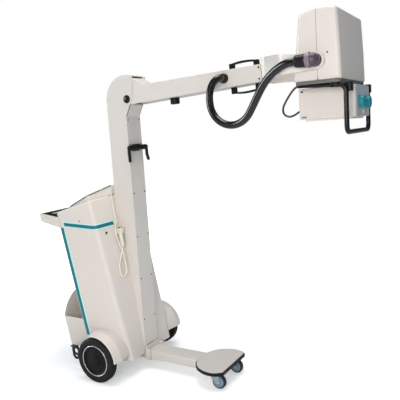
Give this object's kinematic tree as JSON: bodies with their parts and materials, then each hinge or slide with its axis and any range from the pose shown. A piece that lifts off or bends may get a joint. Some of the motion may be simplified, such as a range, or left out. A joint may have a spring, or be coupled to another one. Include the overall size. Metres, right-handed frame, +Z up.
{
  "type": "mobile x-ray unit",
  "caption": "Wheeled cabinet and foot with a tall column, a balanced arm and a tube head with collimator held in a fork.",
  "frame": {"origin": "point on the floor midway between the rear wheels, under their axle", "axes": "+X to the front, the way the arm reaches; +Y to the left side; +Z up"},
  "size_m": [1.8394, 0.64, 1.7813],
  "materials": {
    "tyre_black": "matt",
    "wheel_black": "satin moulded",
    "steel": "turned",
    "cover_cream": "fine satin moulding",
    "paint_cream": "smooth powder coat",
    "cast_cream": "smooth powder coat",
    "stripe_teal": "satin film",
    "frame_grey": "matt paint",
    "block_grey": "bare casting",
    "fascia_grey": "matt film",
    "display_glass": "gloss",
    "stop_red": "gloss",
    "rubber_black": "matt",
    "plastic_black": "satin",
    "metal_black": "satin",
    "caster_blue": "satin",
    "elbow_grey": "satin",
    "base_grey": "matt paint",
    "panel_grey": "matt",
    "knob_teal": "satin",
    "window_clear": "clear",
    "cord_cream": "matt",
    "switch_cream": "matt"
  },
  "bodies": {
    "chassis": {"rear_axle": "steel", "cabinet_cover": "cover_cream", "side_stripes": "stripe_teal", "fender_left": "cover_cream", "fender_right": "cover_cream", "chassis_frame": "frame_grey", "generator_tank": "block_grey", "console_housing": "cover_cream", "console_fascia": "fascia_grey", "display_window": "display_glass", "rear_shelf": "cover_cream", "shelf_mat": "rubber_black", "cassette_bin": "cover_cream", "column_body": "paint_cream", "column_front_panel": "paint_cream", "column_screws": "metal_black", "arm_pivot_shaft": "metal_black", "balance_cartridge": "frame_grey", "park_rest": "metal_black", "foot_beam": "paint_cream", "foot_plate": "paint_cream", "foot_bumper": "rubber_black", "exposure_cord": "cord_cream", "hand_switch": "switch_cream", "switch_holder": "switch_cream"},
    "wheel_left": {"tyre_left": "tyre_black", "wheel_disc_left": "wheel_black"},
    "wheel_right": {"tyre_right": "tyre_black", "wheel_disc_right": "wheel_black"},
    "caster_left": {"caster_fork_left": "caster_blue"},
    "caster_wheel_left": {"caster_tyre_left": "rubber_black", "caster_hub_left": "caster_blue"},
    "caster_right": {"caster_fork_right": "caster_blue"},
    "caster_wheel_right": {"caster_tyre_right": "rubber_black", "caster_hub_right": "caster_blue"},
    "brake": {"brake_pedal": "metal_black"},
    "stop": {"stop_button": "stop_red"},
    "push": {"exposure_button": "plastic_black"},
    "arm": {"arm_beam": "paint_cream", "arm_screws": "metal_black", "arm_grips": "plastic_black", "arm_buffer": "rubber_black", "hose_gland": "plastic_black", "hose": "rubber_black"},
    "fork": {"fork_yoke": "cast_cream", "hose_elbow": "elbow_grey", "hose_cuff": "rubber_black"},
    "head": {"head_rear_cover": "cover_cream", "head_front_cover": "cover_cream", "head_base_plate": "base_grey", "tube_tank": "block_grey", "guide_bar": "metal_black", "collimator_lead": "rubber_black"},
    "collimator": {"collimator_ring": "base_grey", "collimator_body": "cover_cream", "collimator_window": "window_clear", "collimator_panel": "panel_grey"},
    "knob_right": {"field_knob_right": "knob_teal"},
    "knob_left": {"field_knob_left": "knob_teal"},
    "lamp": {"lamp_button": "plastic_black"}
  },
  "joints": [
    {"name": "wheel_left_roll", "type": "hinge", "parent": "chassis", "child": "wheel_left", "pos_m": [0, 0.2975, 0.125], "axis": [0, 1, 0], "continuous": true},
    {"name": "wheel_right_roll", "type": "hinge", "parent": "chassis", "child": "wheel_right", "pos_m": [0, -0.2975, 0.125], "axis": [0, 1, 0], "continuous": true},
    {"name": "caster_left_swivel", "type": "hinge", "parent": "chassis", "child": "caster_left", "pos_m": [0.622, 0.097, 0.084], "axis": [0, 0, 1], "continuous": true},
    {"name": "caster_left_roll", "type": "hinge", "parent": "caster_left", "child": "caster_wheel_left", "pos_m": [0.644, 0.097, 0.038], "axis": [0, 1, 0], "continuous": true},
    {"name": "caster_right_swivel", "type": "hinge", "parent": "chassis", "child": "caster_right", "pos_m": [0.622, -0.097, 0.084], "axis": [0, 0, 1], "continuous": true},
    {"name": "caster_right_roll", "type": "hinge", "parent": "caster_right", "child": "caster_wheel_right", "pos_m": [0.644, -0.097, 0.038], "axis": [0, 1, 0], "continuous": true},
    {"name": "brake_rock", "type": "hinge", "parent": "chassis", "child": "brake", "pos_m": [-0.084, -0.253, 0.12], "axis": [0, 1, 0], "range_deg": [-12, 8]},
    {"name": "arm_lift", "type": "hinge", "parent": "chassis", "child": "arm", "pos_m": [0.162, 0, 1.513], "axis": [0, -1, 0], "range_deg": [-76, 25]},
    {"name": "fork_roll", "type": "hinge", "parent": "arm", "child": "fork", "pos_m": [0.94238, 0, 1.56582], "axis": [0.9989, 0, 0.0471], "range_deg": [-90, 90], "deforming": ["hose"]},
    {"name": "head_tilt", "type": "hinge", "parent": "fork", "child": "head", "pos_m": [1.25041, 0, 1.57234], "axis": [0, -1, 0], "range_deg": [-35, 40]},
    {"name": "collimator_swivel", "type": "hinge", "parent": "head", "child": "collimator", "pos_m": [1.25741, 0, 1.47], "axis": [0, 0, 1], "range_deg": [-45, 45], "deforming": ["collimator_lead"]},
    {"name": "knob_right_turn", "type": "hinge", "parent": "collimator", "child": "knob_right", "pos_m": [1.37941, -0.054, 1.40034], "axis": [1, 0, 0], "range_deg": [-120, 120]},
    {"name": "knob_left_turn", "type": "hinge", "parent": "collimator", "child": "knob_left", "pos_m": [1.37941, 0.054, 1.40034], "axis": [1, 0, 0], "range_deg": [-120, 120]},
    {"name": "lamp_press", "type": "slide", "parent": "collimator", "child": "lamp", "axis": [-1, 0, 0], "range_m": [0, 0.003], "stiffness_N_per_m": 300},
    {"name": "stop_press", "type": "slide", "parent": "chassis", "child": "stop", "axis": [0.4254, 0, -0.905], "range_m": [0, 0.004], "stiffness_N_per_m": 600},
    {"name": "exposure_press", "type": "slide", "parent": "chassis", "child": "push", "axis": [0.1162, 0.0219, -0.993], "range_m": [0, 0.004], "stiffness_N_per_m": 300}
  ]
}
